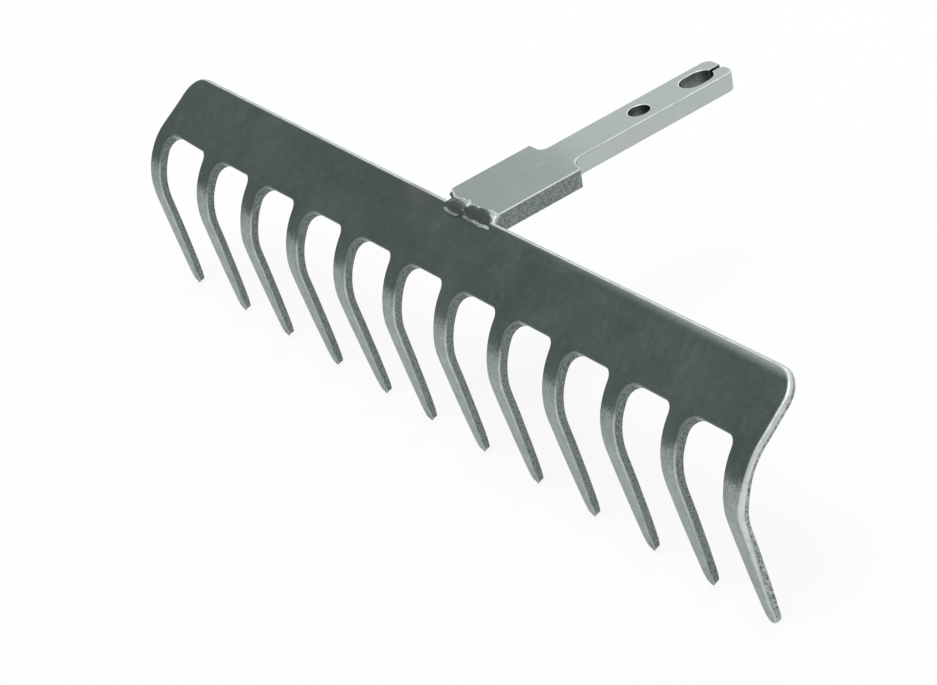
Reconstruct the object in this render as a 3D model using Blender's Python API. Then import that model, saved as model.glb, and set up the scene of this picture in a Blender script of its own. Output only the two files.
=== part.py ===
"""A twelve-tine rake head: a toothed blade pressed from one sheet, with a flat bar welded behind it.

Lengths are in metres and angles in degrees. The pieces are modelled in the bar's own frame: X runs
along the blade, Y along the bar towards the handle, Z up out of the bar's top face, and zero is on
that face, just behind the blade's top edge. The last section moves them all together, so that the
origin ends up under the middle of the head, level with the tips of the tines.
"""

from math import cos, pi, radians, sin, sqrt

import bmesh
import bpy

# Driving dimensions of the blade
TINE_COUNT = 12
TINE_PITCH = 0.0264
FAR_END_X = -0.1508
NEAR_END_X = 0.1499
BLADE_LENGTH = 0.0706
SHEET_THICKNESS = 0.0021
PLATE_LENGTH = 0.01695
PLATE_SLOPE = 33.5
TINE_SLOPE = 94.5
BEND_RADIUS = 0.0224
FRONT_EDGE_ROUNDING = 0.0007
BACK_EDGE_ROUNDING = 0.00025

# Where the blade's top edge stands against the bar's top face, and how it climbs towards the near end
TOP_EDGE_Y = -0.00381
TOP_EDGE_Z = -0.00023
CLIMB_START = -0.010
CLIMB = 0.00105

# Driving dimensions of the tines, measured from the top edge down the front face
GAP_ROOT = 0.0192
FAR_FILLET = 0.0055
NEAR_FILLET = 0.0032
TIP_START = 0.0680
# Half of a tine's width at four distances down the sheet, with straight stretches between them
HALF_WIDTHS = ((0.0192, 0.0039), (0.0480, 0.00342), (0.0580, 0.0029), (0.0680, 0.0020))
FIRST_TINE_SPREAD = 0.0028
LAST_TINE_EXTRA = 0.0011
LAST_TINE_NARROWING = 0.00065
# How far each tine steps sideways in the bend, how far its tip then leans and how much shorter it is,
# from the far end to the near end: such heads are never true
STEP_START = 0.030
STEP_END = 0.042
SIDE_STEPS = (0.0007, 0.0003, -0.0012, -0.0002, 0.0, -0.0008, -0.0009, -0.0005, -0.0001, 0.0008, 0.0005, -0.0008)
TIP_LEANS = (-0.0008, -0.0011, -0.0002, 0.0007, 0.0012, -0.0004, 0.0003, 0.0, 0.0002, 0.0001, -0.0002, -0.0004)
TIP_LIFTS = (0.0007, 0.0, 0.0, 0.0, 0.0002, 0.0, 0.0, 0.0, 0.0002, 0.0006, 0.0007, 0.0)
CORNER_RADIUS = 0.007
FAR_END_BLEND = 0.024
NEAR_END_BLEND = 0.018
SIDE_ROWS = (0.030, 0.033, 0.036, 0.039, 0.042, 0.048, 0.058)

# Driving dimensions of the bar
BAR_HALF_WIDTH = 0.0125
BAR_THICKNESS = 0.0052
BAR_FRONT = -0.0022
BAR_BACK = 0.0809
NECK_FAR_SIDE = -0.0065
NECK_NEAR_SIDE = 0.0062
SHOULDER = 0.0256
SHOULDER_DROP = 0.0008
SHEAR_TAPER = 0.0007
FAR_SHOULDER_FILLET = 0.0020
NEAR_SHOULDER_FILLET = 0.0030
BAR_EDGE_ROUNDING = 0.00035
PIN_HOLE_Y = 0.0532
PIN_HOLE_RADIUS = 0.0032
SLOT_CENTRE = (0.0002, 0.0722)
SLOT_RADIUS = 0.0037
SLOT_STRAIGHT = 0.0026
SLIT_FAR_SIDE = -0.0008
SLIT_NEAR_SIDE = 0.0006
FAR_PRONG_CORNER = 0.0027
NEAR_PRONG_CORNER = 0.0024
NEAR_PRONG_INNER_CORNER = 0.0016

# Welds stay this far from the steel that they join
WELD_CLEARANCE = 0.0003


def arc(centre, radii, start, end, steps):
    """Points of an elliptical arc, both ends included."""
    points = []
    for step in range(steps + 1):
        angle = radians(start + (end - start) * step / steps)
        points.append((centre[0] + radii[0] * cos(angle), centre[1] + radii[1] * sin(angle)))
    return points


def steel(name, colour, roughness, metallic):
    """A plain metal material."""
    material = bpy.data.materials.new(name)
    material.use_nodes = True
    shader = material.node_tree.nodes["Principled BSDF"]
    shader.inputs["Base Color"].default_value = (*colour, 1.0)
    shader.inputs["Roughness"].default_value = roughness
    shader.inputs["Metallic"].default_value = metallic
    return material


def object_from(bm, name, material):
    """Turns a finished bmesh into a scene object with its outside facing out."""
    bmesh.ops.recalc_face_normals(bm, faces=bm.faces)
    if bm.calc_volume(signed=True) < 0.0:
        bmesh.ops.reverse_faces(bm, faces=bm.faces)
    mesh = bpy.data.meshes.new(name)
    bm.to_mesh(mesh)
    bm.free()
    mesh.shade_smooth()
    mesh.set_sharp_from_angle(angle=radians(40))
    piece = bpy.data.objects.new(name, mesh)
    bpy.context.collection.objects.link(piece)
    if material:
        mesh.materials.append(material)
    return piece


def plate_from(upper, lower, thickness):
    """A flat bmesh plate between an upper outline at height zero and a lower one with as many points."""
    bm = bmesh.new()
    top = [bm.verts.new((x, y, 0.0)) for x, y in upper]
    bottom = [bm.verts.new((x, y, -thickness)) for x, y in lower]
    bm.faces.new(top)
    bm.faces.new(list(reversed(bottom)))
    for index in range(len(top)):
        after = (index + 1) % len(top)
        bm.faces.new([top[index], bottom[index], bottom[after], top[after]])
    bm.normal_update()
    return bm


def round_rim(bm, height, width, segments):
    """Rounds every edge of a plate's outline at one height."""
    rim = []
    for edge in bm.edges:
        level = all(abs(vert.co.z - height) < 1e-6 for vert in edge.verts)
        wall = any(abs(face.normal.z) < 0.5 for face in edge.link_faces)
        if level and wall:
            rim.append(edge)
    bmesh.ops.bevel(bm, geom=rim, offset=width, segments=segments, profile=0.5, affect='EDGES')


def clear_scene():
    """Starts from an empty scene."""
    for item in list(bpy.data.objects):
        bpy.data.objects.remove(item, do_unlink=True)


# The blade: its flat outline, with X along the blade and the distance down the front face as Y

def eased(share):
    """A soft step from nought to one."""
    share = min(max(share, 0.0), 1.0)
    return share * share * (3.0 - 2.0 * share)


def tine_half_width(down):
    """Half of a tine's width, which tapers faster towards the tip."""
    for (start, wide), (end, narrow) in zip(HALF_WIDTHS, HALF_WIDTHS[1:]):
        if down <= end:
            break
    return wide + (narrow - wide) * (down - start) / (end - start)


def tine_side(tine, side, down):
    """X of one side of a tine: side is -1 at its far side and +1 at its near side."""
    middle = (tine - (TINE_COUNT - 1) / 2) * TINE_PITCH
    if tine == 0:
        middle -= FIRST_TINE_SPREAD
    stepped = eased((down - STEP_START) / (STEP_END - STEP_START))
    leaning = max(down - STEP_END, 0.0) / (BLADE_LENGTH - STEP_END)
    x = middle + SIDE_STEPS[tine] * stepped + TIP_LEANS[tine] * leaning + side * tine_half_width(down)
    if tine == TINE_COUNT - 1 and side > 0:
        x += LAST_TINE_EXTRA - LAST_TINE_NARROWING * stepped
    return x


def end_side(side, down):
    """X of the blade's end, which eases from the plate's corner into the outer tine's side."""
    tine, end, blend = (0, FAR_END_X, FAR_END_BLEND)
    if side > 0:
        tine, end, blend = (TINE_COUNT - 1, NEAR_END_X, NEAR_END_BLEND)
    ease = eased((down - CORNER_RADIUS) / (blend - CORNER_RADIUS))
    return end * (1.0 - ease) + tine_side(tine, side, down) * ease


def tine_tip(tine):
    """The tine's rounded end, from its near side to its far side."""
    start = TIP_START - TIP_LIFTS[tine]
    near = tine_side(tine, 1, start)
    far = tine_side(tine, -1, start)
    return arc(((near + far) / 2, start), ((near - far) / 2, BLADE_LENGTH - TIP_START), 0, 180, 8)


def gap_root(tine):
    """The rounded root between a tine and the next one on its far side, from near to far."""
    near_x = tine_side(tine, -1, GAP_ROOT + NEAR_FILLET)
    far_x = tine_side(tine - 1, 1, GAP_ROOT + FAR_FILLET)
    near_centre = (near_x - NEAR_FILLET, GAP_ROOT + NEAR_FILLET)
    far_centre = (far_x + FAR_FILLET, GAP_ROOT + FAR_FILLET)
    near = arc(near_centre, (NEAR_FILLET, NEAR_FILLET), 0, -90, 5)
    far = arc(far_centre, (FAR_FILLET, FAR_FILLET), -90, -180, 6)
    return near + far


def blade_outline():
    """The blade before it is bent: along the top edge, down the near end, and back past the tines."""
    radii = (CORNER_RADIUS, CORNER_RADIUS)
    end_rows = [CORNER_RADIUS + 0.003 * step for step in range(1, 7)] + list(SIDE_ROWS)
    outline = arc((FAR_END_X + CORNER_RADIUS, CORNER_RADIUS), radii, 180, 270, 6)
    outline.append((CLIMB_START, 0.0))
    outline += arc((NEAR_END_X - CORNER_RADIUS, CORNER_RADIUS - CLIMB), radii, 270, 360, 6)
    outline += [(end_side(1, down), down) for down in end_rows]
    for tine in reversed(range(TINE_COUNT)):
        if tine < TINE_COUNT - 1:
            outline += [(tine_side(tine, 1, down), down) for down in SIDE_ROWS]
        outline += tine_tip(tine)
        if tine > 0:
            outline += [(tine_side(tine, -1, down), down) for down in reversed(SIDE_ROWS)]
            outline += gap_root(tine)
    outline += [(end_side(-1, down), down) for down in reversed(end_rows)]
    return outline


def bent(x, down, depth):
    """Where a point of the flat blade goes: straight plate, round bend, then straight tine."""
    first = radians(PLATE_SLOPE)
    last = radians(TINE_SLOPE)
    turned = min(max((down - PLATE_LENGTH) / BEND_RADIUS, 0.0), last - first)
    slope = first + turned
    plate = min(down, PLATE_LENGTH)
    tine = max(down - PLATE_LENGTH - BEND_RADIUS * (last - first), 0.0)
    y = TOP_EDGE_Y - cos(first) * plate - BEND_RADIUS * (sin(slope) - sin(first)) - cos(last) * tine
    z = TOP_EDGE_Z - sin(first) * plate + BEND_RADIUS * (cos(slope) - cos(first)) - sin(last) * tine
    return x, y + sin(slope) * depth, z - cos(slope) * depth


def make_blade():
    """Presses the plate: rounds its rims, creases it across the bend and rolls it to shape."""
    outline = blade_outline()
    bm = plate_from(outline, outline, SHEET_THICKNESS)
    round_rim(bm, 0.0, FRONT_EDGE_ROUNDING, 2)
    round_rim(bm, -SHEET_THICKNESS, BACK_EDGE_ROUNDING, 1)
    bend_length = BEND_RADIUS * radians(TINE_SLOPE - PLATE_SLOPE)
    creases = 10
    for crease in range(creases + 1):
        everything = list(bm.verts) + list(bm.edges) + list(bm.faces)
        down = PLATE_LENGTH + bend_length * crease / creases
        bmesh.ops.bisect_plane(bm, geom=everything, plane_co=(0.0, down, 0.0), plane_no=(0.0, 1.0, 0.0))
    bmesh.ops.triangulate(bm, faces=list(bm.faces))
    for vert in bm.verts:
        vert.co = bent(vert.co.x, vert.co.y, -vert.co.z)
    return object_from(bm, "toothed_blade", steel("blade_steel", (0.075, 0.095, 0.088), 0.5, 0.75))


# The bar: shoulders, a narrower neck with a pin hole, and a slotted end split into two prongs

def bar_outline(taper):
    """The bar seen from above, anticlockwise from its front far corner.

    taper draws the shoulders and the split end in, as the shears left them at the lower face.
    """
    shoulder = SHOULDER - taper
    back = BAR_BACK - taper
    neck_fillet = NEAR_SHOULDER_FILLET
    near_centre = (NECK_NEAR_SIDE + neck_fillet, shoulder + SHOULDER_DROP + neck_fillet)
    far_centre = (NECK_FAR_SIDE - FAR_SHOULDER_FILLET, shoulder + FAR_SHOULDER_FILLET)
    slot_x, slot_y = SLOT_CENTRE
    upper = (slot_x, slot_y + SLOT_STRAIGHT / 2)
    lower = (slot_x, slot_y - SLOT_STRAIGHT / 2)
    near_mouth = sqrt(SLOT_RADIUS ** 2 - (SLIT_NEAR_SIDE - slot_x) ** 2)
    far_mouth = sqrt(SLOT_RADIUS ** 2 - (SLIT_FAR_SIDE - slot_x) ** 2)
    slot = (SLOT_RADIUS, SLOT_RADIUS)
    prong = NEAR_PRONG_CORNER
    inner = NEAR_PRONG_INNER_CORNER

    outline = [(-BAR_HALF_WIDTH, BAR_FRONT), (BAR_HALF_WIDTH, BAR_FRONT), (BAR_HALF_WIDTH, shoulder)]
    outline += arc(near_centre, (neck_fillet, neck_fillet), 270, 180, 6)
    outline += arc((NECK_NEAR_SIDE - prong, back - prong), (prong, prong), 0, 90, 5)
    outline += arc((SLIT_NEAR_SIDE + inner, back - inner), (inner, inner), 90, 180, 5)
    outline.append((SLIT_NEAR_SIDE, upper[1] + near_mouth))
    outline += arc(upper, slot, 75, 0, 6)
    outline += arc(lower, slot, 0, -180, 14)
    outline += arc(upper, slot, 180, 115, 5)
    outline += [(SLIT_FAR_SIDE, upper[1] + far_mouth), (SLIT_FAR_SIDE, back)]
    prong = FAR_PRONG_CORNER
    outline += arc((NECK_FAR_SIDE + prong, back - prong), (prong, prong), 90, 180, 5)
    outline += arc(far_centre, (FAR_SHOULDER_FILLET, FAR_SHOULDER_FILLET), 0, -90, 5)
    outline.append((-BAR_HALF_WIDTH, shoulder))
    return outline


def make_bar():
    """Cuts the bar out, drills its pin hole and breaks its edges."""
    bm = plate_from(bar_outline(0.0), bar_outline(SHEAR_TAPER), BAR_THICKNESS)
    bar = object_from(bm, "shank_bar", steel("bar_steel", (0.33, 0.38, 0.36), 0.45, 0.8))

    drill = bmesh.new()
    bmesh.ops.create_cone(drill, cap_ends=True, segments=32, radius1=PIN_HOLE_RADIUS,
                          radius2=PIN_HOLE_RADIUS, depth=BAR_THICKNESS * 3)
    cutter = object_from(drill, "pin_hole_drill", None)
    cutter.location = (0.0, PIN_HOLE_Y, -BAR_THICKNESS / 2)
    cutter.hide_render = True
    cutter.display_type = 'WIRE'
    hole = bar.modifiers.new("pin_hole", 'BOOLEAN')
    hole.operation = 'DIFFERENCE'
    hole.object = cutter

    edges = bar.modifiers.new("broken_edges", 'BEVEL')
    edges.width = BAR_EDGE_ROUNDING
    edges.segments = 2
    edges.limit_method = 'ANGLE'
    edges.angle_limit = radians(50)
    return bar, cutter


# The welds: beads that lie along X, cut back from the blade and the bar by their clearance

def clearance_box(name, corners):
    """A cutter with eight corners, listed as four at one end of X and the same four at the other."""
    bm = bmesh.new()
    low = [bm.verts.new(point) for point in corners[0]]
    high = [bm.verts.new(point) for point in corners[1]]
    bm.faces.new(low)
    bm.faces.new(list(reversed(high)))
    for index in range(4):
        after = (index + 1) % 4
        bm.faces.new([low[index], high[index], high[after], low[after]])
    box = object_from(bm, name, None)
    box.hide_render = True
    box.display_type = 'WIRE'
    return box


def plate_clearance():
    """The blade's plate, grown by the clearance on its front, its back and its top edge."""
    reach = BAR_HALF_WIDTH * 2
    above = -WELD_CLEARANCE
    below = PLATE_LENGTH / 2
    front = -WELD_CLEARANCE
    back = SHEET_THICKNESS + WELD_CLEARANCE
    ring = [(above, front), (below, front), (below, back), (above, back)]
    corners = [[bent(x, down, depth) for down, depth in ring] for x in (-reach, reach)]
    return clearance_box("plate_clearance", corners)


def bar_clearance():
    """The bar's welded end, grown by the clearance on its top, its bottom, its front and its sides."""
    reach = BAR_HALF_WIDTH + WELD_CLEARANCE
    top = WELD_CLEARANCE
    bottom = -BAR_THICKNESS - WELD_CLEARANCE
    front = BAR_FRONT - WELD_CLEARANCE
    ring = [(front, bottom), (SHOULDER, bottom), (SHOULDER, top), (front, top)]
    corners = [[(x, y, z) for y, z in ring] for x in (-reach, reach)]
    return clearance_box("bar_clearance", corners)


def near_lump_clearance():
    """The space round the bar's near corner that the lump there takes up."""
    front = -0.0033
    ring = [(front, -BAR_THICKNESS), (SHOULDER, -BAR_THICKNESS), (SHOULDER, BAR_THICKNESS),
            (front, BAR_THICKNESS)]
    corners = [[(x, y, z) for y, z in ring] for x in (0.0096, BAR_HALF_WIDTH * 2)]
    return clearance_box("near_lump_clearance", corners)


def weld_bead(name, ends, section, lumps, colour, cutters):
    """A lumpy bead along X, round-ended, cut back from what it lies on.

    ends are its two X values. section is the middle of its cross-section in Y and Z, its half width,
    its half height and the angle by which it leans. lumps are how many it has and how high they are.
    """
    start, end = ends
    middle_y, middle_z, half_width, half_height, lean = section
    count, swell = lumps
    rings = 4 * count + 5
    around = 16
    bm = bmesh.new()
    loops = []
    for ring in range(1, rings):
        share = ring / rings
        size = (1.0 - (2.0 * share - 1.0) ** 4) ** 0.5
        size *= 1.0 + swell * sin(2 * pi * count * share - pi / 2)
        x = start + (end - start) * share
        loop = []
        for step in range(around):
            turn = 2 * pi * step / around
            across = half_width * size * cos(turn)
            up = half_height * size * sin(turn)
            y = middle_y + across * cos(radians(lean)) - up * sin(radians(lean))
            z = middle_z + across * sin(radians(lean)) + up * cos(radians(lean))
            loop.append(bm.verts.new((x, y, z)))
        loops.append(loop)
    poles = [bm.verts.new((start, middle_y, middle_z)), bm.verts.new((end, middle_y, middle_z))]
    for step in range(around):
        after = (step + 1) % around
        bm.faces.new([poles[0], loops[0][after], loops[0][step]])
        bm.faces.new([poles[1], loops[-1][step], loops[-1][after]])
        for inner, outer in zip(loops, loops[1:]):
            bm.faces.new([inner[step], inner[after], outer[after], outer[step]])
    bead = object_from(bm, name, steel(name + "_metal", colour, 0.4, 0.85))
    for cutter in cutters:
        cut = bead.modifiers.new(cutter.name, 'BOOLEAN')
        cut.operation = 'DIFFERENCE'
        cut.object = cutter
    return bead


def make_welds():
    """The lump and the run over the top edge, the lump at the bar's near corner, and the bead below."""
    over_edge = PLATE_SLOPE
    corner = near_lump_clearance()
    cutters = [plate_clearance(), bar_clearance()]
    welds = [weld_bead("weld_lump_far", (-0.0073, 0.0016), (-0.0048, -0.0006, 0.0022, 0.0013, over_edge),
                       (2, 0.10), (0.20, 0.24, 0.22), cutters)]
    welds.append(weld_bead("weld_run", (0.0021, 0.0143), (-0.0045, -0.0006, 0.0023, 0.0012, over_edge),
                           (4, 0.06), (0.08, 0.10, 0.09), cutters + [corner]))
    welds.append(weld_bead("weld_lump_near", (0.0099, 0.0148), (-0.0015, -0.0016, 0.0014, 0.0027, 0.0),
                           (1, 0.10), (0.45, 0.50, 0.47), cutters))
    welds.append(weld_bead("weld_bead_under", (-0.0110, 0.0110), (-0.0037, -0.0042, 0.0020, 0.0016, 60.0),
                           (6, 0.06), (0.10, 0.12, 0.11), cutters))
    return welds, cutters + [corner]


# Everything together, moved so that the origin is under the middle of the head

def lowest_and_highest(pieces):
    """The corners of the box round the finished pieces."""
    bpy.context.view_layer.update()
    graph = bpy.context.evaluated_depsgraph_get()
    points = []
    for piece in pieces:
        shape = piece.evaluated_get(graph)
        points += [piece.matrix_world @ vert.co for vert in shape.to_mesh().vertices]
        shape.to_mesh_clear()
    low = [min(point[axis] for point in points) for axis in range(3)]
    high = [max(point[axis] for point in points) for axis in range(3)]
    return low, high


clear_scene()
blade = make_blade()
bar, drill_cutter = make_bar()
weld_pieces, weld_cutters = make_welds()

low_corner, high_corner = lowest_and_highest([blade, bar] + weld_pieces)
datum = bpy.data.objects.new("head_datum", None)
bpy.context.collection.objects.link(datum)
for item in [blade, bar, drill_cutter] + weld_cutters + weld_pieces:
    item.parent = datum
datum.location = (-(low_corner[0] + high_corner[0]) / 2, -(low_corner[1] + high_corner[1]) / 2,
                  -low_corner[2])
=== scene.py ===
from math import radians

import bmesh
import bpy
from mathutils import Euler, Matrix, Vector


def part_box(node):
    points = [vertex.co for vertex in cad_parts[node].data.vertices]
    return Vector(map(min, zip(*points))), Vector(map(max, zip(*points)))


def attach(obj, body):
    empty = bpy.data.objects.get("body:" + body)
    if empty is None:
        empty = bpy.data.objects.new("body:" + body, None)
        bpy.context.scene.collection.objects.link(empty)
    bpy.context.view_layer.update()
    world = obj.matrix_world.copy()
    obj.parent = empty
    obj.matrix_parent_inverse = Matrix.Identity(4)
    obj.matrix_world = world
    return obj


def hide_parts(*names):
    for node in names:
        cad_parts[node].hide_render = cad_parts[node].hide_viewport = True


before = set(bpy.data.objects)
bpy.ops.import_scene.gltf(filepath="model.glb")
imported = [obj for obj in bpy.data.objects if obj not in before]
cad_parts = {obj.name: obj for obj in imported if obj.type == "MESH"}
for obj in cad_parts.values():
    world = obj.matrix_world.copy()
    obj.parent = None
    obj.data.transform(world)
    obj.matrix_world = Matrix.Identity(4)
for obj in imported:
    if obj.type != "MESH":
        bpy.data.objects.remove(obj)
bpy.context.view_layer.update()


# The blade: one steel sheet, punched flat and then bent over a round former, so that its tines hang
# down from a sloping plate. The press leaves its front rim rounded and its cut walls torn and grainy,
# and its skin is dark where it is untouched and brighter where the tines have worn, which is partly
# wear and partly a painted reflection. Its rims and top edge carry painted highlights.

# Lengths are in metres and angles in degrees. A place down the sheet is measured along its front
# from its top edge, as if it were still flat. A half width comes after its place down the sheet, and
# the side steps, leans and lifts go tine by tine from the far end

tine_count = 12
tine_pitch = 0.0264
sheet = 0.0021
blade_length = 0.0706
far_end = -0.1508
near_end = 0.1499
climb_start = -0.010
climb = 0.00105
plate_length = 0.01695
plate_slope = 33.5
bend_turn = 61.0
bend_length = 0.0224 * radians(bend_turn)
bend_end = plate_length + bend_length
gap_root = 0.0192
half_widths = ((0.0192, 0.0039), (0.0480, 0.00342), (0.0580, 0.0029), (0.0706, 0.00177))
corner_radius = 0.007
near_corner_radius = 0.0085
far_end_blend = 0.024
near_end_blend = 0.018
far_fillet = 0.0055
near_fillet = 0.0028
first_tine_spread = 0.0028
last_tine_extra = 0.0011
last_tine_narrowing = 0.00065
step_start = 0.030
step_end = 0.042
side_steps = (0.0007, 0.0003, -0.0012, -0.0002, 0.0, -0.0008,
              -0.0009, -0.0005, -0.0001, 0.0008, 0.0005, -0.0008)
tip_leans = (-0.0008, -0.0011, -0.0002, 0.0007, 0.0012, -0.0004,
             0.0003, 0.0, 0.0002, 0.0001, -0.0002, -0.0004)
tip_lifts = (0.0008, 0.0006, 0.0006, 0.0006, 0.0008, 0.0006,
             0.0006, 0.0006, 0.0008, 0.0012, 0.0013, 0.0)
side_rows = (0.030, 0.033, 0.036, 0.039, 0.042, 0.048, 0.058, 0.0645, 0.0662)
slant = 0.0015
slant_start = 0.024
slant_rise = 0.014
taper_start = 0.0645
near_taper = 0.0006
row_spacing = 0.0015
hair = 1e-5


def take(piece):
    """Selects one object alone, in object mode, and makes it the active one."""
    if bpy.context.object and bpy.context.object.mode != 'OBJECT':
        bpy.ops.object.mode_set(mode='OBJECT')
    bpy.ops.object.select_all(action='DESELECT')
    piece.select_set(True)
    bpy.context.view_layer.objects.active = piece


def pick(piece, kind, wanted):
    """Opens a piece in edit mode with only the wanted verts, edges or faces selected."""
    take(piece)
    bpy.ops.object.mode_set(mode='EDIT')
    bpy.context.tool_settings.mesh_select_mode = (kind == "verts", kind == "edges", kind == "faces")
    bpy.ops.mesh.select_all(action='DESELECT')
    shape = bmesh.from_edit_mesh(piece.data)
    for item in getattr(shape, kind):
        if wanted(item):
            item.select_set(True)
    shape.select_flush_mode()
    bmesh.update_edit_mesh(piece.data)


def block(name, low, high):
    """A new block between two corners, its place in its mesh."""
    if bpy.context.object and bpy.context.object.mode != 'OBJECT':
        bpy.ops.object.mode_set(mode='OBJECT')
    bpy.ops.object.select_all(action='DESELECT')
    bpy.ops.mesh.primitive_cube_add(size=1.0)
    piece = bpy.context.active_object
    piece.name = name
    piece.scale = [b - a for a, b in zip(low, high)]
    piece.location = [(a + b) / 2 for a, b in zip(low, high)]
    bpy.ops.object.transform_apply(location=True, rotation=True, scale=True)
    return piece


def slice_across(piece, axis, places):
    """Cuts rows of edges across a piece at these places along an axis."""
    normal = [0.0, 0.0, 0.0]
    normal["XYZ".index(axis)] = 1.0
    take(piece)
    bpy.ops.object.mode_set(mode='EDIT')
    for place in places:
        bpy.ops.mesh.select_all(action='SELECT')
        bpy.ops.mesh.bisect(plane_co=[place * part for part in normal], plane_no=normal)
    bpy.ops.object.mode_set(mode='OBJECT')


def apply_modifier(piece, kind, **settings):
    """Adds a modifier with its settings and applies it."""
    take(piece)
    modifier = piece.modifiers.new(kind.lower(), kind)
    for name, value in settings.items():
        setattr(modifier, name, value)
    bpy.ops.object.modifier_apply(modifier=modifier.name)


def upright(edge):
    """True for an edge that runs through the sheet, from its front to its back."""
    run = edge.verts[1].co - edge.verts[0].co
    return abs(run.y) > hair and abs(run.x) < 2.0 * slant and abs(run.z) < hair


# The blank stands on edge: its front face at Y zero, Z down the sheet from where the bend starts

top_edge = -plate_length
tip_edge = blade_length - plate_length
blade = block("rake_blade", (far_end, -sheet, top_edge), (near_end, 0.0, tip_edge))
slice_across(blade, "X", [climb_start])
pick(blade, "verts", lambda vert: vert.co.z < 0.0 and vert.co.x > 0.0)
bpy.ops.transform.translate(value=(0.0, 0.0, -climb))
pick(blade, "edges", lambda edge: upright(edge) and edge.verts[0].co.z < 0.0
     and edge.verts[0].co.x < far_end + hair)
bpy.ops.mesh.bevel(offset=corner_radius, segments=8, affect='EDGES')
pick(blade, "edges", lambda edge: upright(edge) and edge.verts[0].co.z < 0.0
     and edge.verts[0].co.x > near_end - hair)
bpy.ops.mesh.bevel(offset=near_corner_radius, segments=8, affect='EDGES')
bpy.ops.object.mode_set(mode='OBJECT')

end_rows = [corner_radius + row_spacing * step for step in range(1, 16)] + list(side_rows)
slice_across(blade, "Z", [down - plate_length for down in end_rows])


def eased(share):
    """A soft step from nought to one."""
    share = min(max(share, 0.0), 1.0)
    return share * share * (3.0 - 2.0 * share)


def tine_side(tine, side, down):
    """X of a tine's far side, for -1, or its near side, for 1, at a distance down the sheet."""
    for (start, wide), (end, narrow) in zip(half_widths, half_widths[1:]):
        if down <= end:
            break
    half = wide + (narrow - wide) * (down - start) / (end - start)
    stepped = eased((down - step_start) / (step_end - step_start))
    leaning = max(down - step_end, 0.0) / (blade_length - step_end)
    x = (tine - (tine_count - 1) / 2) * tine_pitch + side_steps[tine] * stepped + tip_leans[tine] * leaning
    if tine == 0:
        x -= first_tine_spread
    if tine == tine_count - 1 and side > 0:
        x += last_tine_extra - last_tine_narrowing * stepped
    elif side > 0:
        x -= near_taper * max(down - taper_start, 0.0) / (blade_length - taper_start)
    return x + side * half


def slant_at(down):
    """How far a tine's near wall slants in from the back of the sheet to its front."""
    return slant * (1.0 - min(max(down - taper_start, 0.0) / (blade_length - taper_start), 1.0))


ends = ((-1, 0, far_end, far_end_blend), (1, tine_count - 1, near_end, near_end_blend))
for side, tine, end, blend in ends:
    for down in end_rows + [blade_length]:
        ease = eased((down - corner_radius) / (blend - corner_radius))
        inset = slant_at(down) * eased((down - slant_start) / slant_rise) if side > 0 else 0.0
        for level, inward in ((0.0, inset), (-sheet, 0.0)):
            pick(blade, "verts", lambda vert: abs(vert.co.z + plate_length - down) < hair
                 and abs(vert.co.x - end) < hair and abs(vert.co.y - level) < hair)
            shift = (tine_side(tine, side, down) - end) * ease - inward
            bpy.ops.transform.translate(value=(shift, 0.0, 0.0))
pick(blade, "faces", lambda face: abs(face.normal.y) > 0.8)
bpy.ops.mesh.dissolve_limited(angle_limit=radians(0.05))

# One punch cuts the gap between two tines, and is copied along the blank. It only just clears the
# sheet, and the first gap is a little wider and higher than the others

gap_half = tine_pitch / 2 - half_widths[0][1]
gap_top = gap_root - plate_length
first_gap_widening = 0.0005
first_gap_rise = 0.0004
punch_end = blade_length + 0.0004
punch_back = -sheet - 0.0001
punch_front = 0.0001
punch = block("gap_punch", (-gap_half, punch_back, gap_top),
              (gap_half, punch_front, punch_end - plate_length))
pick(punch, "edges", lambda edge: upright(edge) and edge.verts[0].co.z < gap_top + hair
     and edge.verts[0].co.x < 0.0)
bpy.ops.mesh.bevel(offset=far_fillet, segments=12, affect='EDGES')
pick(punch, "edges", lambda edge: upright(edge) and edge.verts[0].co.z < gap_top + hair
     and edge.verts[0].co.x > gap_half - hair)
bpy.ops.mesh.bevel(offset=near_fillet, segments=8, affect='EDGES')
slice_across(punch, "Z", [down - plate_length for down in side_rows])
for level in (punch_back, punch_front):
    pick(punch, "verts", lambda vert: abs(vert.co.y - level) < hair
         and vert.co.x < far_fillet - gap_half + hair)
    bpy.ops.transform.translate(value=(-slant * (level + sheet) / sheet, 0.0, 0.0))
bpy.ops.object.mode_set(mode='OBJECT')

punches = []
for gap in range(1, tine_count):
    take(punch)
    bpy.ops.object.duplicate()
    copy = bpy.context.active_object
    middle = (gap - tine_count / 2) * tine_pitch
    if gap == 1:
        pick(copy, "verts", lambda vert: vert.co.x < 0.0 and vert.co.z < side_rows[0] - plate_length - hair)
        bpy.ops.transform.translate(
            value=(-first_tine_spread - first_gap_widening, 0.0, -first_gap_rise))
    for down in side_rows + (punch_end,):
        shift = tine_side(gap, -1, down) - middle - gap_half
        pick(copy, "verts", lambda vert: abs(vert.co.z + plate_length - down) < hair and vert.co.x > 0.0)
        bpy.ops.transform.translate(value=(shift, 0.0, 0.0))
        for level in (punch_back, punch_front):
            less_slant = (slant - slant_at(down)) * (level + sheet) / sheet
            shift = tine_side(gap - 1, 1, down) - middle + gap_half + less_slant
            pick(copy, "verts", lambda vert: abs(vert.co.z + plate_length - down) < hair
                 and vert.co.x < 0.0 and abs(vert.co.y - level) < hair)
            bpy.ops.transform.translate(value=(shift, 0.0, 0.0))
    take(copy)
    bpy.ops.transform.translate(value=(middle, 0.0, 0.0))
    bpy.ops.object.transform_apply(location=True, rotation=True, scale=True)
    punches.append(copy)
take(punches[0])
for copy in punches[1:]:
    copy.select_set(True)
bpy.ops.object.join()
apply_modifier(blade, 'BOOLEAN', operation='DIFFERENCE', object=punches[0])
bpy.data.objects.remove(punch, do_unlink=True)
bpy.data.objects.remove(punches[0], do_unlink=True)


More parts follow.
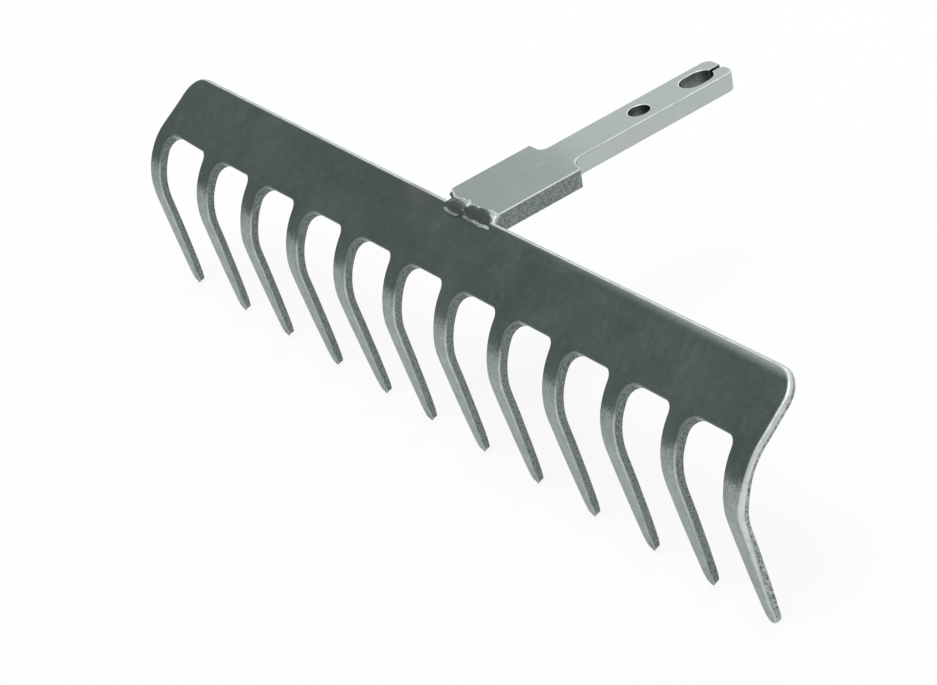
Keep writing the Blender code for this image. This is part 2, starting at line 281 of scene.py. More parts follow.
# Each tip is ground to a wedge, mostly from its far side, but the last one is rounded evenly. It is
# first cut short, and its ground part is then drawn out again. A grind is a width and its facets, for
# the far side and then for the near side

tip_spare = 0.0015
tip_reach = 0.006
tip_core = 0.001
grind = (0.0010, 2, 0.0003, 1)
last_grind = (0.0016, 6, 0.0015, 4)
for tine in range(tine_count):
    far_grind, far_steps, near_grind, near_steps = last_grind if tine == tine_count - 1 else grind
    middle = (tine_side(tine, -1, blade_length) + tine_side(tine, 1, blade_length)) / 2
    tip = tip_edge - tip_lifts[tine] - tip_spare
    pick(blade, "verts", lambda vert: vert.co.z > tip_edge - hair
         and abs(vert.co.x - middle) < tip_reach)
    bpy.ops.transform.translate(value=(0.0, 0.0, tip - tip_edge))
    pick(blade, "edges", lambda edge: upright(edge) and edge.verts[0].co.z > tip - hair
         and middle - tip_reach < edge.verts[0].co.x < middle)
    bpy.ops.mesh.bevel(offset=far_grind, segments=far_steps, profile=0.45, affect='EDGES')
    pick(blade, "edges", lambda edge: upright(edge) and edge.verts[0].co.z > tip - hair
         and middle + tip_core < edge.verts[0].co.x < middle + tip_reach)
    bpy.ops.mesh.bevel(offset=near_grind, segments=near_steps, affect='EDGES')
    pick(blade, "verts", lambda vert: vert.co.z > tip - far_grind - 0.0001
         and abs(vert.co.x - middle) < tip_reach)
    bpy.ops.transform.resize(value=(1.0, 1.0, 1.0 + tip_spare / far_grind),
                             center_override=(middle, 0.0, tip - far_grind))
bpy.ops.object.mode_set(mode='OBJECT')

# The rims that the punch rolled over, which are widest along the top and at the ends of the blade

wide_rim = 0.0013
narrow_rim = 0.0006
back_rim = 0.00025
rim_steps = (bend_end, 0.050, 0.058)
plate_top = top_edge + 0.009
outer_far = -0.1494
outer_near = 0.1445
bend_rows = 32


def on_rim(edge, height):
    """True for an edge between a flat side of the sheet, at that height in Y, and a cut wall."""
    level = all(abs(vert.co.y - height) < hair for vert in edge.verts)
    return level and any(abs(face.normal.y) < 0.8 for face in edge.link_faces)


def rim_width(edge):
    """How far the punch rolled the front rim over: most along the top and ends, least between tines."""
    middle = (edge.verts[0].co + edge.verts[1].co) / 2
    outside = middle.x > outer_near or middle.x < outer_far
    if middle.z < plate_top or outside:
        for step, down in enumerate(rim_steps):
            if middle.z < down - plate_length:
                return wide_rim - (wide_rim - narrow_rim) * step / len(rim_steps)
    return narrow_rim


slice_across(blade, "Z", [down - plate_length for down in rim_steps[1:]])
blade.data.attributes.new("bevel_weight_edge", 'FLOAT', 'EDGE')
shape = bmesh.new()
shape.from_mesh(blade.data)
weight = shape.edges.layers.float["bevel_weight_edge"]
for edge in shape.edges:
    if on_rim(edge, 0.0):
        edge[weight] = rim_width(edge) / wide_rim
shape.to_mesh(blade.data)
shape.free()
apply_modifier(blade, 'BEVEL', limit_method='WEIGHT', width=wide_rim, segments=5, use_clamp_overlap=False,
               loop_slide=False)
pick(blade, "edges", lambda edge: on_rim(edge, -sheet))
bpy.ops.mesh.bevel(offset=back_rim, segments=2, affect='EDGES')
bpy.ops.object.mode_set(mode='OBJECT')
slice_across(blade, "Z", [bend_length * step / bend_rows for step in range(bend_rows + 1)])
slice_across(blade, "X", [(step - tine_count) * tine_pitch / 2 for step in range(1, 2 * tine_count)])


def keep(piece, name, domain, values):
    """Stores a number for each point or face of a piece, which its finish reads by this name."""
    layer = piece.data.attributes.new(name, 'FLOAT', domain)
    layer.data.foreach_set("value", values)


# The finish needs three measures of the flat sheet: how far down it a point is, how deep in it, and
# how squarely it faces the near end

keep(blade, "down_sheet", 'POINT', [vert.co.z + plate_length for vert in blade.data.vertices])
keep(blade, "into_sheet", 'POINT', [-vert.co.y / sheet for vert in blade.data.vertices])
keep(blade, "near_facing", 'POINT', [vert.normal.x for vert in blade.data.vertices])

# The blank is bent, leaned over to its slope, and set down on its lowest tip

take(blade)
bpy.ops.object.shade_smooth_by_angle(angle=radians(32))
uppermost = min(vert.co.z for vert in blade.data.vertices)
height = max(vert.co.z for vert in blade.data.vertices) - uppermost
apply_modifier(blade, 'SIMPLE_DEFORM', deform_method='BEND', deform_axis='X', angle=-radians(bend_turn),
               limits=(-uppermost / height, (bend_length - uppermost) / height))
apply_modifier(blade, 'WEIGHTED_NORMAL', keep_sharp=True)

blade.rotation_euler = (radians(90 + plate_slope), 0.0, 0.0)
bpy.ops.object.transform_apply(location=True, rotation=True, scale=True)
blade_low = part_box("toothed_blade")[0]
bar_low, bar_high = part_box("shank_bar")
head_middle = (bar_low[0] + bar_high[0]) / 2
front = min(vert.co.y for vert in blade.data.vertices)
lowest = min(vert.co.z for vert in blade.data.vertices)
blade.location = (head_middle, blade_low[1] - front, -lowest)
bpy.ops.object.transform_apply(location=True, rotation=True, scale=True)
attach(blade, "root")
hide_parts("toothed_blade")


class Wire:
    """The output of a shader node, which takes part in sums as a number does."""

    def __init__(self, tree, socket):
        self.tree = tree
        self.socket = socket

    def node(self, kind, settings, inputs, output=0):
        """Any other node: its settings, then its inputs, and the one of its outputs that is wanted."""
        made = self.tree.nodes.new(kind)
        for name, value in settings.items():
            setattr(made, name, value)
        for key, value in inputs.items():
            if isinstance(value, Wire):
                self.tree.links.new(value.socket, made.inputs[key])
            else:
                made.inputs[key].default_value = value
        return Wire(self.tree, made.outputs[output])

    def math(self, operation, first, second):
        return self.node('ShaderNodeMath', {"operation": operation}, {0: first, 1: second})

    def __add__(self, other):
        return self.math('ADD', self, other)

    def __radd__(self, other):
        return self.math('ADD', other, self)

    def __sub__(self, other):
        return self.math('SUBTRACT', self, other)

    def __rsub__(self, other):
        return self.math('SUBTRACT', other, self)

    def __mul__(self, other):
        return self.math('MULTIPLY', self, other)

    def __rmul__(self, other):
        return self.math('MULTIPLY', other, self)

    def lower(self, other):
        return self.math('MINIMUM', self, other)

    def higher(self, other):
        return self.math('MAXIMUM', self, other)

    def rise(self, low, high):
        """Nought below low, one above high, and a soft step between."""
        return self.node('ShaderNodeMapRange', {"interpolation_type": 'SMOOTHSTEP'},
                         {0: self, 1: low, 2: high})

    def colour(self, first, second):
        """The first colour where this is nought, the second where it is one."""
        return self.node('ShaderNodeMix', {"data_type": 'RGBA'}, {0: self, 6: first, 7: second}, 2)

    def noise(self, scale, detail=3.0, roughness=0.6):
        """Soft noise over this place, with so many cells to a metre."""
        return self.node('ShaderNodeTexNoise', {}, {0: self, "Scale": scale, "Detail": detail,
                                                    "Roughness": roughness})

    def stretch(self, x, y, z):
        """This place, measured in other lengths along each axis."""
        return self.node('ShaderNodeMapping', {"vector_type": 'POINT'}, {0: self, "Scale": (x, y, z)})

    def part(self, axis):
        """One coordinate of a place."""
        return self.node('ShaderNodeSeparateXYZ', {}, {0: self}, axis)

    def reach(self, centre, radii):
        """How far this place is from a centre, where one is the edge of a ball with these radii."""
        middle = self.node('ShaderNodeVectorMath', {"operation": 'SUBTRACT'}, {0: self, 1: centre})
        ball = self.node('ShaderNodeVectorMath', {"operation": 'DIVIDE'}, {0: middle, 1: radii}, 0)
        return ball.node('ShaderNodeVectorMath', {"operation": 'LENGTH'}, {0: ball}, "Value")


def new_finish(piece, name):
    """Gives a piece a node material, and hands back its shader and its object coordinates."""
    material = bpy.data.materials.new(name)
    material.use_nodes = True
    piece.data.materials.clear()
    piece.data.materials.append(material)
    tree = material.node_tree
    place = Wire(tree, tree.nodes.new('ShaderNodeTexCoord').outputs["Object"])
    return tree.nodes["Principled BSDF"], place


def connect(shader, **inputs):
    """Links these wires to the shader's inputs, whose names are written with an underscore."""
    for name, value in inputs.items():
        value.tree.links.new(value.socket, shader.inputs[name.replace("_", " ")])


def bump(height, strength, distance):
    """A bumped surface normal from a height."""
    return height.node('ShaderNodeBump', {}, {"Strength": strength, "Distance": distance, "Height": height})


dark_skin = (0.080, 0.112, 0.100, 1)
light_skin = (0.108, 0.145, 0.130, 1)
pale_mottle = (0.16, 0.195, 0.18, 1)
dark_mottle = (0.05, 0.075, 0.067, 1)
bright_speck = (0.26, 0.30, 0.285, 1)
worn_and_lit_steel = (0.28, 0.333, 0.313, 1)
bare_and_lit_steel = (0.36, 0.412, 0.39, 1)
torn_shade = (0.085, 0.11, 0.10, 1)
torn_steel = (0.33, 0.38, 0.36, 1)
end_wall_lit_dark = (0.14, 0.165, 0.157, 1)
end_wall_lit_steel = (0.56, 0.61, 0.59, 1)
edge_shine = (0.54, 0.59, 0.57, 1)
rim_highlight_steel = (0.62, 0.67, 0.655, 1)
rim_shine = (0.95, 0.99, 0.98, 1)
top_band_highlight_steel = (0.50, 0.545, 0.53, 1)
heat_tint = (0.17, 0.155, 0.15, 1)
heat_place = (head_middle - 0.0217, -0.0315, 0.0585)
heat_reach = (0.010, 0.005, 0.005)

steel_finish, place = new_finish(blade, "dark_sheet_steel")
down = place.node('ShaderNodeAttribute', {"attribute_name": "down_sheet"}, {}, "Fac")
depth = place.node('ShaderNodeAttribute', {"attribute_name": "into_sheet"}, {}, "Fac")
facing = place.node('ShaderNodeAttribute', {"attribute_name": "near_facing"}, {}, "Fac")
across = place.part(0) - head_middle
clouds = place.noise(70.0, 4.0, 0.55)
patches = place.noise(260.0, 3.0, 0.6)
chips = place.noise(1000.0, 2.0, 0.6)
grain = place.noise(1500.0, 2.0, 0.7)
tears = place.noise(2600.0, 2.0, 0.8)

# Where the tines are worn and painted lighter as a reflection, where the sheet is torn, how wide the smooth
# land beside its front is, and how strong the painted highlight on its rim is

# Painted reflection as well as wear: the tine fronts below this line are coloured lighter
sheen_and_wear_line = down + (patches - 0.5) * 0.004 + (grain - 0.5) * 0.005
sheen_and_wear = sheen_and_wear_line.rise(0.0268, 0.0312)
outer = across.higher(0.0 - across).rise(0.1425, 0.1450) * (across * facing).rise(0.0, 0.01)
top_strip = 1.0 - down.rise(0.0008, 0.0022)
root_line = (down - gap_root).higher(gap_root - down)
root_line = (1.0 - root_line.rise(0.0003, 0.0009)) * (1.0 - outer)
ragged = depth + (tears - 0.5) * 0.22 + (chips - 0.5) * 0.10
lower = down.rise(0.040, 0.058)
land = 0.20 + (0.35 - 0.26 * lower) * outer
wall = (ragged - land).rise(0.0, 0.10) * (1.0 - depth.rise(0.90, 0.99))
rim = depth.rise(0.01, 0.14) * (1.0 - (ragged - land).rise(-0.08, 0.10))
# Painted highlight: how strongly the rounded front rim is coloured bright, most on the lighter tine fronts
# and the ends, least where the rim faces the far end
rim_highlight_gain = (0.25 + 0.65 * sheen_and_wear) * (1.0 - 0.6 * lower)
rim_highlight_gain = rim_highlight_gain.higher(outer * (1.0 - 0.3 * lower)).higher(top_strip)
far_facing = (0.0 - facing).rise(0.15, 0.5)
rim_highlight_gain = rim_highlight_gain * (0.7 + 0.3 * patches.rise(0.3, 0.6)) * (1.0 - 0.85 * far_facing)

# The dark skin has clouds, mottles and specks, and the worn and lighter steel of the tines lies over it,
# partly wear and partly a painted reflection

broad = place.noise(16.0, 2.0, 0.5)
skin = (0.5 * clouds + 0.5 * broad).rise(0.38, 0.62).colour(dark_skin, light_skin)
blotch = place.noise(420.0, 2.0, 0.6)
skin = (blotch.rise(0.56, 0.70) * 0.30).colour(skin, pale_mottle)
skin = (blotch.rise(0.44, 0.32) * 0.30).colour(skin, dark_mottle)
skin = (grain.rise(0.64, 0.74) * patches.rise(0.5, 0.66) * 0.3).colour(skin, bright_speck)
bright = patches.rise(0.3, 0.7).colour(worn_and_lit_steel, bare_and_lit_steel)
speckle = grain.rise(0.55, 0.35) * (0.65 - 0.3 * down.rise(0.031, 0.040))
bright = speckle.colour(bright, pale_mottle)
skin = sheen_and_wear.colour(skin, bright)

# Torn walls, the end walls painted lighter as if lit, painted highlights on the rims, along the top edge
# and at the gap roots, and the patch beside the weld lie over the skin

torn = tears.rise(0.32, 0.64).colour(torn_shade, torn_steel)
# Painted light: the end walls, which face open light, get a lighter copy of the torn wall's grain
end_wall_lit_copy = (0.5 * chips + 0.5 * tears).rise(0.38, 0.60).colour(end_wall_lit_dark, end_wall_lit_steel)
torn = outer.colour(torn, end_wall_lit_copy)
# Painted highlight: a bright line on the walls along the top edge and at the roots of the gaps
torn = (root_line * 0.8).higher(top_strip * 0.8).colour(torn, edge_shine)
skin = wall.colour(skin, torn)
# Painted highlight on the rounded front rim, brightest on the plate and at the ends
plate_highlight_boost = 1.0 - down.rise(0.012, 0.036)
painted_rim_highlight = (0.35 * plate_highlight_boost + 0.2 * outer).colour(rim_highlight_steel, rim_shine)
skin = (rim * rim_highlight_gain).colour(skin, painted_rim_highlight)
# Painted highlight: a bright band on the front face along the top edge, growing towards the near end
top_band_highlight = 1.0 - (down + (chips - 0.5) * 0.0008).rise(-0.0006, 0.0024)
top_band_highlight = top_band_highlight * across.rise(0.0, 0.14) * (1.0 - wall) * (1.0 - rim)
skin = (top_band_highlight * 0.85).colour(skin, top_band_highlight_steel)
heat = 1.0 - place.reach(heat_place, heat_reach).rise(0.3, 1.0)
skin = (heat * clouds.rise(0.25, 0.6) * 0.45).colour(skin, heat_tint)
connect(steel_finish, Base_Color=skin, Roughness=0.36 + 0.16 * clouds + 0.25 * wall,
        Normal=bump(grain * (1.0 - wall) + tears * 2.5 * wall, 0.35, 0.00015))
steel_finish.inputs["Metallic"].default_value = 0.7


# The bar: a length of flat bar sheared narrower for the handle, with a drilled hole for the handle's
# pin and a punched slot that is slit out to the end. The edges of its wide part keep the dark rolled
# skin of the stock, its neck was dressed bright, and the weld melted its far front corner back.

bar_middle = head_middle
bar_front, bar_back = bar_low[1], bar_high[1]
shoulder = bar_front + 0.0278
near_shoulder = shoulder + 0.0015
neck_far = bar_middle - 0.0065
neck_near = bar_middle + 0.0062
far_shoulder_fillet = 0.0020
near_shoulder_fillet = 0.0030
far_end_round = 0.0027
near_end_round = 0.0024
melted_back = 0.0020
melted_along = 0.0027
front_break = 0.0006
edge_break = 0.0003

bar = block("shank_flat", (bar_low[0], bar_front, bar_low[2]), (bar_high[0], shoulder, bar_high[2]))
slice_across(bar, "X", [neck_far, neck_near])
pick(bar, "faces", lambda face: face.normal.y > 0.9 and neck_far < face.calc_center_median().x < neck_near)
bpy.ops.mesh.extrude_region_move(TRANSFORM_OT_translate={"value": (0.0, bar_back - shoulder, 0.0)})
pick(bar, "faces", lambda face: abs(face.normal.z) > 0.9)
bpy.ops.mesh.dissolve_limited(angle_limit=radians(0.05))


def stands(edge, x, y):
    """True for an upright edge of the bar at this place."""
    return all(abs(vert.co.x - x) < hair and abs(vert.co.y - y) < hair for vert in edge.verts)


pick(bar, "verts", lambda vert: abs(vert.co.x - neck_near) < hair and abs(vert.co.y - shoulder) < hair)
bpy.ops.transform.translate(value=(0.0, near_shoulder - shoulder, 0.0))
pick(bar, "edges", lambda edge: stands(edge, neck_near, near_shoulder))
bpy.ops.mesh.bevel(offset=near_shoulder_fillet, segments=8, affect='EDGES')
pick(bar, "edges", lambda edge: stands(edge, neck_far, shoulder))
bpy.ops.mesh.bevel(offset=far_shoulder_fillet, segments=8, affect='EDGES')
pick(bar, "edges", lambda edge: stands(edge, neck_far, bar_back))
bpy.ops.mesh.bevel(offset=far_end_round, segments=10, affect='EDGES')
pick(bar, "edges", lambda edge: stands(edge, neck_near, bar_back))
bpy.ops.mesh.bevel(offset=near_end_round, segments=10, affect='EDGES')

# The far front corner is melted back in a slant, and the upper front edge is broken all along

pick(bar, "edges", lambda edge: stands(edge, bar_low[0], bar_front))
bpy.ops.mesh.bevel(offset=melted_back, segments=1, affect='EDGES')
pick(bar, "verts", lambda vert: vert.co.y < bar_front + hair
     and vert.co.x < bar_low[0] + melted_back + 0.0001)
bpy.ops.transform.translate(value=(melted_along, 0.0, 0.0))
pick(bar, "edges", lambda edge: all(
    abs(vert.co.z - bar_high[2]) < hair and vert.co.y < bar_front + melted_back + 0.0001
    and vert.co.x < bar_high[0] - hair for vert in edge.verts))
bpy.ops.mesh.bevel(offset=front_break, segments=3, affect='EDGES')

# The drill, the slot punch and the slitting saw go through one after the other

hole_radius = 0.0031
slot_half_width = 0.0037
slot_half_length = 0.0050
slit_round = 0.0016
overshoot = 0.005
hole_y = bar_front + 0.0554
bpy.ops.object.mode_set(mode='OBJECT')
bpy.ops.object.select_all(action='DESELECT')
bpy.ops.mesh.primitive_cylinder_add(vertices=72, radius=hole_radius, depth=0.02,
                                    location=(bar_middle, hole_y, bar_high[2]))
drill = bpy.context.active_object
bpy.ops.object.transform_apply(location=True, rotation=True, scale=True)
apply_modifier(bar, 'BOOLEAN', operation='DIFFERENCE', object=drill)
bpy.data.objects.remove(drill, do_unlink=True)

slot_x = bar_middle + 0.0002
slot_y = bar_front + 0.0744
slot_punch = block("slot_punch",
                   (slot_x - slot_half_width, slot_y - slot_half_length, bar_low[2] - overshoot),
                   (slot_x + slot_half_width, slot_y + slot_half_length, bar_high[2] + overshoot))
pick(slot_punch, "edges", lambda edge: abs(edge.verts[0].co.z - edge.verts[1].co.z) > hair)
bpy.ops.mesh.bevel(offset=slot_half_width, segments=16, affect='EDGES')
bpy.ops.mesh.select_all(action='SELECT')
bpy.ops.mesh.remove_doubles(threshold=hair)
bpy.ops.object.mode_set(mode='OBJECT')
apply_modifier(bar, 'BOOLEAN', operation='DIFFERENCE', object=slot_punch)
bpy.data.objects.remove(slot_punch, do_unlink=True)

slit_far = bar_middle - 0.0008
slit_near = bar_middle + 0.0006
saw = block("slitting_saw", (slit_far, slot_y, bar_low[2] - overshoot),
            (slit_near, bar_back + overshoot, bar_high[2] + overshoot))
apply_modifier(bar, 'BOOLEAN', operation='DIFFERENCE', object=saw)
bpy.data.objects.remove(saw, do_unlink=True)
pick(bar, "edges", lambda edge: abs(edge.verts[0].co.z - edge.verts[1].co.z) > 0.004 and all(
    abs(vert.co.x - slit_near) < hair and vert.co.y > bar_back - 0.0008 for vert in edge.verts))
bpy.ops.mesh.bevel(offset=slit_round, segments=6, affect='EDGES')
pick(bar, "faces", lambda face: abs(face.normal.z) > 0.9)
bpy.ops.mesh.dissolve_limited(angle_limit=radians(0.05))
pick(bar, "verts", lambda vert: abs(vert.co.x - slot_x) < slot_half_width + 0.0005
     and abs(vert.co.y - slot_y) < slot_half_length + 0.0004)
bpy.ops.mesh.remove_doubles(threshold=0.00015)
bpy.ops.object.mode_set(mode='OBJECT')
apply_modifier(bar, 'BEVEL', width=edge_break, segments=3, limit_method='ANGLE', angle_limit=radians(50),
               use_clamp_overlap=False, loop_slide=False)

# The shear left its end and its shoulders slanting, with the lower edge further forward

shear_slant = 0.0007
pick(bar, "verts", lambda vert: vert.co.z < bar_low[2] + edge_break + 0.0001 and (
    vert.co.y > bar_back - 0.0031 or abs(vert.co.y - shoulder - 0.001) < 0.003))
bpy.ops.transform.translate(value=(0.0, -shear_slant, 0.0))
bpy.ops.object.mode_set(mode='OBJECT')

# Which skin each face of the bar has: the mill's on the wide edges, bright where cut or dressed, and
# painted shade on the walls in the hole, slot and slit


def inside_cut(face):
    """Nought outside, a half inside the hole and the slot, and one where such a wall faces the blade or
    lines the slit; the higher values carry painted shade.
    """
    beside = abs(face.center.x - slot_x)
    if abs(face.normal.z) > 0.3 or beside > 0.0045 or face.center.y < hole_y - 0.0033:
        return 0.0
    if face.center.y > bar_back - 0.0035:
        return float(beside < 0.0015 and abs(face.normal.x) > 0.9)
    return 0.5 + 0.5 * max(-face.normal.y, 0.0)


def on_mill_edge(face):
    """One on the two long edges of the wide part, and nought elsewhere."""
    return float(abs(face.normal.x) > 0.9 and abs(face.center.x - bar_middle) > 0.012)


keep(bar, "rolled_edge", 'FACE', [on_mill_edge(face) for face in bar.data.polygons])
keep(bar, "inside_cut", 'FACE', [inside_cut(face) for face in bar.data.polygons])
keep(bar, "broken_edge", 'FACE', [float(0.15 < face.normal.z < 0.97) for face in bar.data.polygons])

take(bar)
bpy.ops.object.shade_smooth_by_angle(angle=radians(35))
apply_modifier(bar, 'WEIGHTED_NORMAL', keep_sharp=True)
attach(bar, "root")
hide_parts("shank_bar")

top_shade = (0.215, 0.262, 0.244, 1)
top_steel = (0.240, 0.287, 0.268, 1)
dressed_shade = (0.287, 0.333, 0.315, 1)
dressed_steel = (0.322, 0.37, 0.352, 1)
side_steel = (0.49, 0.545, 0.523, 1)
streak_shine = (0.55, 0.60, 0.58, 1)
mill_shade = (0.155, 0.19, 0.177, 1)
mill_steel = (0.32, 0.36, 0.343, 1)
cut_shade = (0.15, 0.175, 0.165, 1)
cut_steel = (0.25, 0.285, 0.27, 1)
recess_painted_shade = (0.03, 0.038, 0.035, 1)
broken_shine = (0.78, 0.82, 0.81, 1)

bar_finish, place = new_finish(bar, "flat_bar_steel")
rolled = place.node('ShaderNodeAttribute', {"attribute_name": "rolled_edge"}, {}, "Fac")
inside = place.node('ShaderNodeAttribute', {"attribute_name": "inside_cut"}, {}, "Fac")
broken = place.node('ShaderNodeAttribute', {"attribute_name": "broken_edge"}, {}, "Fac")
clouds = place.noise(110.0, 4.0, 0.55)
streaks = place.stretch(1.0, 0.12, 1.0).noise(900.0, 3.0, 0.6)
grain = place.noise(1700.0, 2.0, 0.7)
uneven = clouds.rise(0.3, 0.7)
top = uneven.colour(top_shade, top_steel)
dressed = place.part(1).rise(shoulder - 0.006, shoulder + 0.010)
top = dressed.colour(top, uneven.colour(dressed_shade, dressed_steel))
below_top = (bar_high[2] - edge_break - place.part(2)).rise(0.0, 0.0002)
sides = place.part(1).rise(shoulder + 0.0002, shoulder + 0.0012) * below_top
top = sides.colour(top, side_steel)
top = (streaks.rise(0.55, 0.75) * 0.12).colour(top, streak_shine)
mill = grain.rise(0.35, 0.65).colour(mill_shade, mill_steel)
skin = rolled.colour(top, mill)
cut = (grain.rise(0.35, 0.65) * 0.5).colour(cut_shade, cut_steel)
# Painted shade: the hole and slot walls that face the blade, and the slit, are coloured near black
cut = inside.rise(0.6, 0.95).colour(cut, recess_painted_shade)
in_cut = inside.rise(0.0, 0.5)
skin = in_cut.colour(skin, cut)
# Painted highlight: the bar's broken edges are coloured bright
bar_edge_highlight = broken * (1.0 - in_cut) * (0.6 + 0.4 * clouds.rise(0.3, 0.6))
skin = bar_edge_highlight.colour(skin, broken_shine)
connect(bar_finish, Base_Color=skin, Roughness=0.32 + 0.14 * clouds + 0.15 * rolled,
        Normal=bump(streaks * 0.4 + grain * (0.5 + 0.6 * rolled), 0.25, 0.0001))
bar_finish.inputs["Metallic"].default_value = 0.7


# The far lump of the weld, which joins the bar to the plate's top edge with two more deposits beside
# it. It is weld metal that ran over the melted corner of the bar in a round dark lump, with a painted
# highlight along its foot.

weld_voxel = 0.00016
ripple_size = 0.0016
ripple_height = 0.0004
weld_shade = (0.075, 0.098, 0.089, 1)
weld_shine = (0.52, 0.57, 0.55, 1)
weld_speck = (0.50, 0.55, 0.53, 1)
weld_pit = (0.03, 0.036, 0.034, 1)


def deposit(name, node, balls):
    """A deposit of molten metal, run together from balls.

    Each ball is its centre from the middle of the head and its three radii, in mm, then its tilt in
    degrees and its brightness, from nought for dark to one for bright, which paints highlights on the dark
    weld.
    """
    bpy.ops.object.select_all(action='DESELECT')
    lumps = []
    for x, y, z, wide, deep, tall, tilt, gleam in balls:
        centre = (head_middle + x / 1000, y / 1000, z / 1000)
        bpy.ops.mesh.primitive_ico_sphere_add(subdivisions=4, radius=0.001, location=centre,
                                              rotation=(radians(tilt), 0.0, 0.0), scale=(wide, deep, tall))
        lumps.append(bpy.context.active_object)
    take(lumps[0])
    for lump in lumps:
        lump.select_set(True)
    bpy.ops.object.join()
    piece = bpy.context.active_object
    piece.name = name
    bpy.ops.object.transform_apply(location=True, rotation=True, scale=True)
    apply_modifier(piece, 'REMESH', mode='VOXEL', voxel_size=weld_voxel)
    apply_modifier(piece, 'SMOOTH', factor=0.5, iterations=10)
    ripples = bpy.data.textures.new(name + "_uneven", 'CLOUDS')
    ripples.noise_scale = ripple_size
    apply_modifier(piece, 'DISPLACE', texture=ripples, texture_coords='LOCAL', strength=ripple_height,
                   mid_level=0.5)
    values = []
    for vert in piece.data.vertices:
        total = weight = 0.0
        for x, y, z, wide, deep, tall, tilt, gleam in balls:
            offset = vert.co * 1000 - Vector((head_middle * 1000 + x, y, z))
            offset.rotate(Euler((-radians(tilt), 0.0, 0.0)))
            away = Vector((offset.x / wide, offset.y / deep, offset.z / tall)).length
            share = 1.0 / (0.02 + away ** 6)
            total += share * gleam
            weight += share
        values.append(total / weight)
    keep(piece, "gleam", 'POINT', values)
    take(piece)
    bpy.ops.object.shade_smooth()
    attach(piece, "root")
    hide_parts(node)

    finish, place = new_finish(piece, name + "_metal")
    gleam = place.node('ShaderNodeAttribute', {"attribute_name": "gleam"}, {}, "Fac")
    patches = place.noise(900.0, 3.0, 0.6)
    grain = place.noise(2400.0, 2.0, 0.7)
    # Painted highlight: bright balls lighten the dark weld metal towards weld_shine
    tone = (gleam + (patches - 0.5) * 0.35).rise(0.15, 0.85)
    skin = tone.colour(weld_shade, weld_shine)
    skin = (grain.rise(0.58, 0.72) * 0.15).colour(skin, weld_speck)
    pits = (1.0 - grain.rise(0.28, 0.36)) * 0.4
    skin = pits.colour(skin, weld_pit)
    connect(finish, Base_Color=skin, Roughness=0.30 + 0.25 * patches,
            Normal=bump(patches + grain * 0.5, 0.5, 0.0002))
    finish.inputs["Metallic"].default_value = 0.7


deposit("weld_far_lump", "weld_lump_far", (
    (-2.6, -31.1, 59.2, 4.2, 1.9, 1.1, 33.5, 0.05),
    (-3.6, -32.4, 58.4, 3.9, 0.7, 0.6, 33.5, 0.85),
    (-6.6, -30.9, 59.0, 1.4, 1.2, 0.7, 33.5, 0.1),
    (-5.4, -30.1, 59.9, 0.9, 0.6, 0.3, 33.5, 0.55),
    (-7.0, -29.8, 59.0, 1.5, 0.8, 0.8, 0, 0.1)))


# The run along the middle of the weld, smooth and dark, with painted highlights on its rippled foot on the
# blade and on its edge on the bar. Three small droplets of it stand beside the far lump.

deposit("weld_middle_run", "weld_run", (
    (4.4, -30.2, 59.3, 3.8, 2.0, 0.8, 33.5, 0.0),
    (7.8, -30.0, 59.2, 4.2, 2.2, 0.8, 33.5, 0.0),
    (10.6, -30.4, 58.8, 3.0, 2.0, 0.8, 33.5, 0.05),
    (2.8, -32.0, 58.4, 1.8, 0.5, 0.4, 33.5, 0.6),
    (5.2, -32.2, 58.3, 2.0, 0.5, 0.4, 33.5, 0.5),
    (7.8, -32.1, 58.4, 2.0, 0.5, 0.4, 33.5, 0.7),
    (10.4, -32.3, 58.3, 2.1, 0.55, 0.45, 33.5, 0.6),
    (12.8, -32.0, 58.4, 1.8, 0.5, 0.45, 33.5, 0.85),
    (1.3, -31.3, 58.8, 1.2, 1.2, 0.7, 33.5, 0.1),
    (-10.7, -27.5, 58.9, 0.7, 0.6, 0.7, 0, 0.0),
    (-9.3, -28.1, 58.5, 0.9, 0.6, 0.8, 0, 0.05),
    (-8.0, -28.8, 58.4, 1.0, 0.7, 0.7, 0, 0.0),
    (-6.6, -28.4, 59.5, 1.6, 0.5, 0.3, 20, 0.75),
    (-4.0, -28.1, 59.5, 2.0, 0.8, 0.35, 20, 0.75),
    (-1.4, -28.3, 59.5, 1.8, 1.2, 0.5, 25, 1.0),
    (-0.2, -29.2, 59.3, 0.9, 0.9, 0.5, 30, 1.0),
    (3.0, -28.2, 59.5, 2.8, 0.6, 0.3, 20, 0.75),
    (7.0, -28.3, 59.5, 3.2, 0.5, 0.35, 20, 0.95)))


# The near lump of the weld, which is the angular end of the run, painted bright as a highlight. It covers
# the bar's near front corner and hangs a little way down beside it.

deposit("weld_near_lump", "weld_lump_near", (
    (9.8, -28.4, 59.4, 2.8, 1.5, 0.6, 25, 1.0),
    (11.6, -28.9, 59.1, 2.2, 2.0, 0.9, 30, 1.0),
    (12.6, -30.2, 58.4, 1.9, 1.6, 0.8, 35, 1.0),
    (12.4, -28.2, 59.3, 1.2, 1.6, 0.6, 15, 1.0),
    (12.9, -28.2, 57.6, 0.5, 0.8, 1.4, 0, 0.35),
    (13.2, -28.0, 55.6, 0.7, 1.3, 0.6, 0, 0.9)))


# The bead in the corner under the bar, laid as a row of overlapping drops. The picture doesn't show
# it, but a joint that takes a rake's load is welded from both sides.

deposit("weld_under_bead", "weld_bead_under", tuple(
    (x, -30.3 + 0.2 * ((x * 7) % 3 - 1), 55.3, 2.4, 1.5, 1.6, 60, 0.35 + 0.1 * ((x * 5) % 3))
    for x in range(-9, 11, 2)))


# The floor: a wide pale sheet of studio paper. It shows white where a lens or bright steel sees it, and
# keeps a faint shadow of the rake.

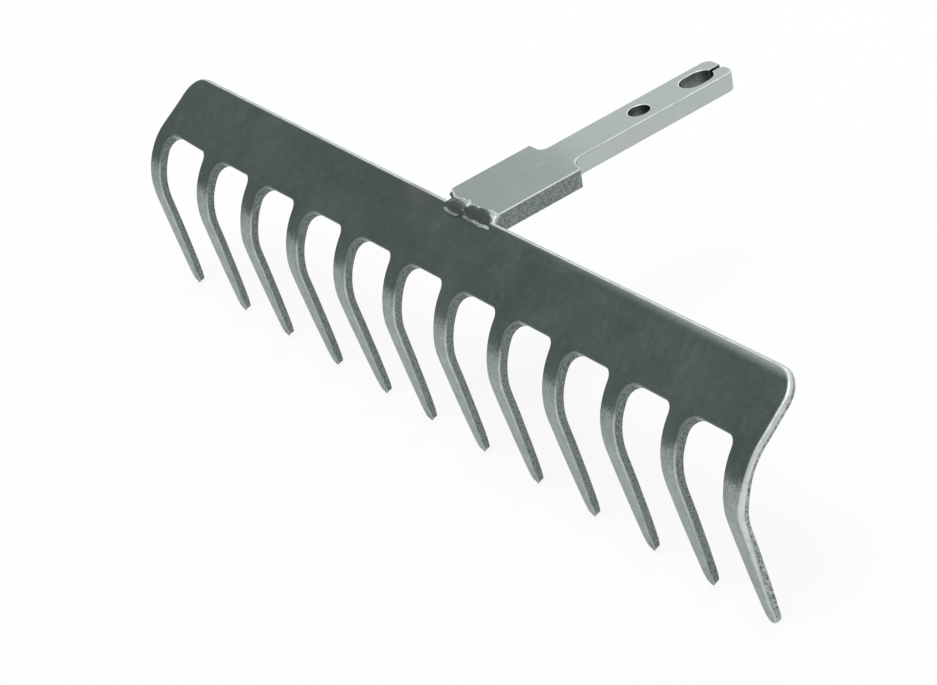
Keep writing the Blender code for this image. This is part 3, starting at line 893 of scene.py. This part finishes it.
bpy.ops.object.select_all(action='DESELECT')
bpy.ops.mesh.primitive_plane_add(size=30.0, location=(0.0, 0.0, -0.0002))
floor = bpy.context.active_object
floor.name = "studio_floor"
paper_finish, place = new_finish(floor, "white_paper")
paper_tree = paper_finish.id_data
paper_finish.inputs["Base Color"].default_value = (0.97, 0.97, 0.97, 1)
paper_finish.inputs["Roughness"].default_value = 0.9
seen = Wire(paper_tree, paper_tree.nodes.new('ShaderNodeLightPath').outputs["Is Camera Ray"])
path_node = seen.socket.node
seen = seen + Wire(paper_tree, path_node.outputs["Is Glossy Ray"]) + Wire(
    paper_tree, path_node.outputs["Is Transmission Ray"])
glow = seen.node('ShaderNodeEmission', {}, {"Color": (1, 1, 1, 1), "Strength": 1.0})
paper = Wire(paper_tree, paper_finish.outputs[0])
mixed = seen.node('ShaderNodeMixShader', {}, {0: seen.lower(1.0) * 0.85, 1: paper, 2: glow})
paper_tree.links.new(mixed.socket, paper_tree.nodes["Material Output"].inputs["Surface"])


# The light: an even grey studio, with a large soft lamp behind the rake that skims its upper faces
# and a second one above it.

studio_grey = (0.5, 0.5, 0.5, 1)
world = bpy.data.worlds.new("studio")
bpy.context.scene.world = world
world.use_nodes = True
world.node_tree.nodes["Background"].inputs["Color"].default_value = studio_grey
world.node_tree.nodes["Background"].inputs["Strength"].default_value = 1.0


def soft_lamp(name, place, size, power):
    """A square soft lamp that faces the middle of the rake."""
    bpy.ops.object.select_all(action='DESELECT')
    bpy.ops.object.light_add(type='AREA', location=place)
    lamp = bpy.context.active_object
    lamp.name = name
    lamp.data.shape = 'SQUARE'
    lamp.data.size = size
    lamp.data.energy = power
    lamp.rotation_euler = (Vector(place) - Vector((0.0, 0.0, 0.03))).to_track_quat('Z', 'Y').to_euler()


soft_lamp("back_lamp", (-1.0, 1.1, 1.1), 1.6, 9.0)
soft_lamp("top_lamp", (0.3, -0.2, 1.6), 1.0, 12.0)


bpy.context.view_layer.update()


# The camera: a long lens that looks down past the near end of the blade, as the photographer did

camera_place = (head_middle + 0.8698, -0.424943, 0.532077)
right = Vector((0.51682, 0.8123, -0.27033))
upward = Vector((-0.28674, 0.46177, 0.83937))
bpy.ops.object.camera_add(location=camera_place)
camera = bpy.context.active_object
camera.rotation_euler = Matrix((right, upward, right.cross(upward))).transposed().to_euler()
camera.data.lens = 157.52
camera.data.sensor_width = 36.0
bpy.context.scene.camera = camera
bpy.context.scene.view_settings.view_transform = 'Standard'
